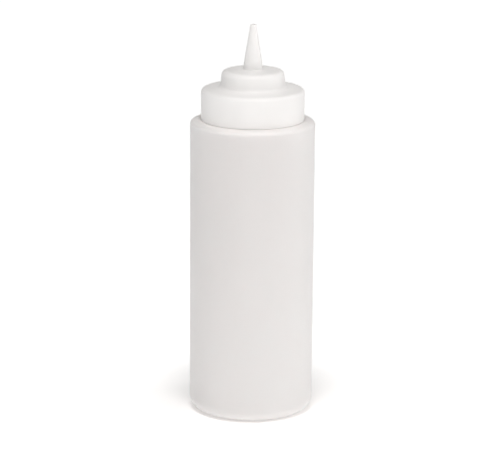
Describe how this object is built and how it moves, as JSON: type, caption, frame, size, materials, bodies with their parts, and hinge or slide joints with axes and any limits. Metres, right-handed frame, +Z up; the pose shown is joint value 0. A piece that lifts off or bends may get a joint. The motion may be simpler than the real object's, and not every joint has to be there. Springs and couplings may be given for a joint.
{
  "type": "squeeze bottle",
  "caption": "Wide-mouth squeeze bottle for sauces: a cylindrical soft bottle with a stepped screw cap that ends in a slim conical nozzle.",
  "frame": {"origin": "centre of the base ring, on the plane that the bottle stands on", "axes": "+Z up along the bottle's axis towards the nozzle's tip; the body is round, so +X and +Y are free, with the base seam along X"},
  "size_m": [0.0828, 0.0828, 0.2612],
  "materials": {
    "bottle_plastic": "satin",
    "cap_plastic": "satin",
    "seal_foam": "matte"
  },
  "bodies": {
    "bottle": {"bottle": "bottle_plastic"},
    "gasket": {"gasket": "seal_foam"},
    "cap": {"cap": "cap_plastic"}
  },
  "joints": [
    {"name": "cap_rise", "type": "slide", "parent": "bottle", "child": "gasket", "axis": [0, 0, 1], "range_m": [0, 0.00636]},
    {"name": "cap_turn", "type": "hinge", "parent": "gasket", "child": "cap", "pos_m": [0, 0, 0.21], "axis": [0, 0, 1], "range_deg": [0, 540]}
  ],
  "couplings": [
    {"joint": "cap_rise", "follows": "cap_turn", "m_per_rad": 0.0006737}
  ]
}
